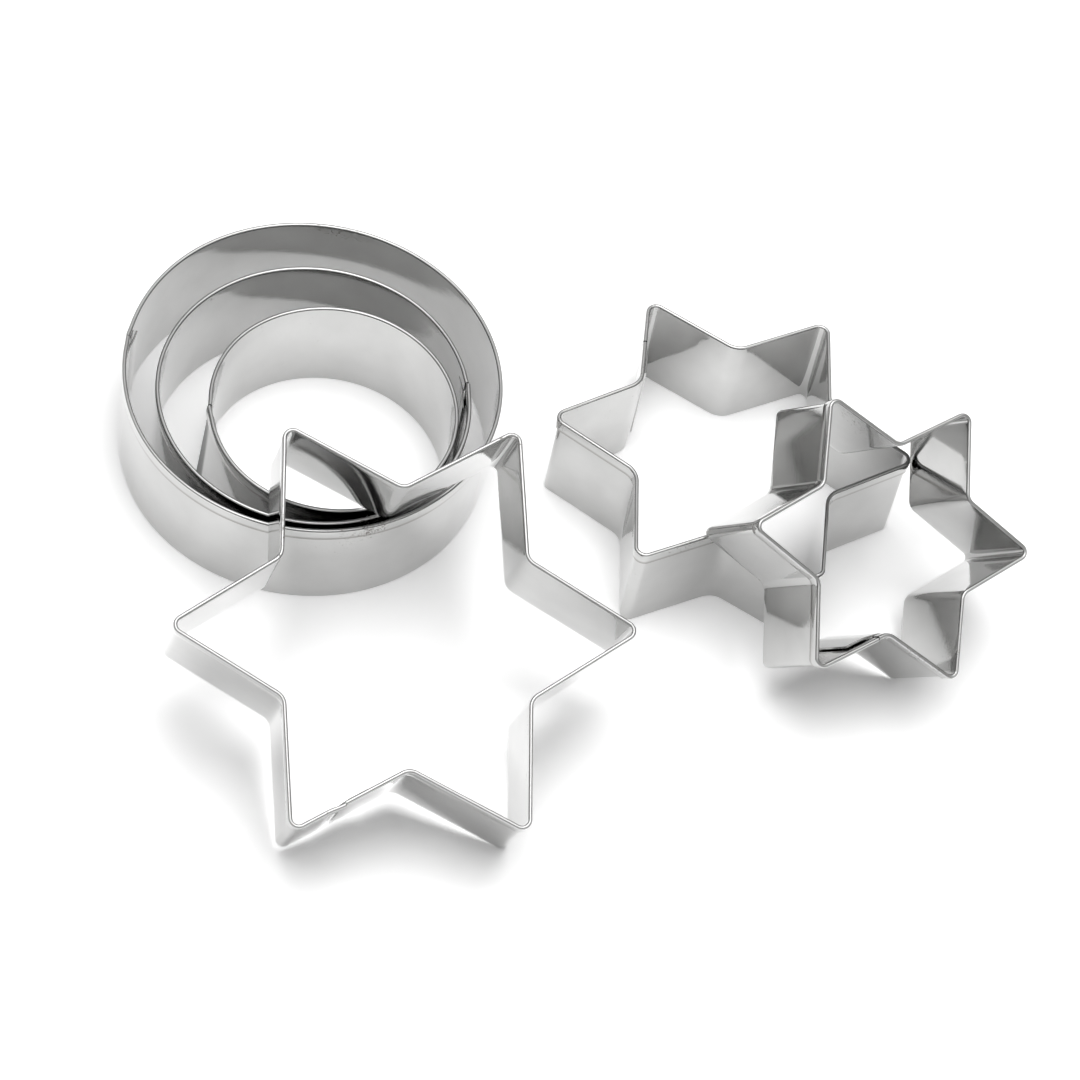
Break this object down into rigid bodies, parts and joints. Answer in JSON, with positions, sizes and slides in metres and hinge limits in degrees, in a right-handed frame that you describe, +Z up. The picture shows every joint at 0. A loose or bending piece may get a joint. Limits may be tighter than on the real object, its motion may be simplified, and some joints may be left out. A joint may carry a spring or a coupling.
{
  "type": "cookie cutter",
  "caption": "Stainless steel cookie cutters with folded rims: nested plain rounds and six-pointed stars, loose in one group, two stars leaning.",
  "frame": {"origin": "on the table plane, under the middle of the whole group's bounding box", "axes": "+Z up from the table; +X to the right as the picture shows the group, from the rounds towards the small star; +Y away from the viewer"},
  "size_m": [0.197, 0.1566, 0.0564],
  "materials": {
    "polished_steel": "polished stainless steel strip with fine rolling lines",
    "weld_steel": "dull grey spot weld"
  },
  "bodies": {
    "round_large": {"round_large": "polished_steel", "round_large_welds": "weld_steel"},
    "round_medium": {"round_medium": "polished_steel", "round_medium_welds": "weld_steel"},
    "round_small": {"round_small": "polished_steel", "round_small_welds": "weld_steel"},
    "star_large": {"star_large": "polished_steel", "star_large_welds": "weld_steel"},
    "star_medium": {"star_medium": "polished_steel", "star_medium_welds": "weld_steel"},
    "star_small": {"star_small": "polished_steel", "star_small_welds": "weld_steel"}
  },
  "joints": [
    {"name": "round_medium_lift", "type": "slide", "parent": "round_large", "child": "round_medium", "axis": [0, 0, 1], "range_m": [0, 0.045]},
    {"name": "round_small_lift", "type": "slide", "parent": "round_medium", "child": "round_small", "axis": [0, 0, 1], "range_m": [0, 0.045]},
    {"name": "star_large_lift", "type": "slide", "parent": "round_small", "child": "star_large", "axis": [0, 0, 1], "range_m": [0, 0.06]},
    {"name": "star_medium_lift", "type": "slide", "parent": "round_large", "child": "star_medium", "axis": [0, 0, 1], "range_m": [0, 0.045]},
    {"name": "star_small_lift", "type": "slide", "parent": "star_medium", "child": "star_small", "axis": [0.3993, -0.4021, 0.8239], "range_m": [0, 0.06]}
  ]
}
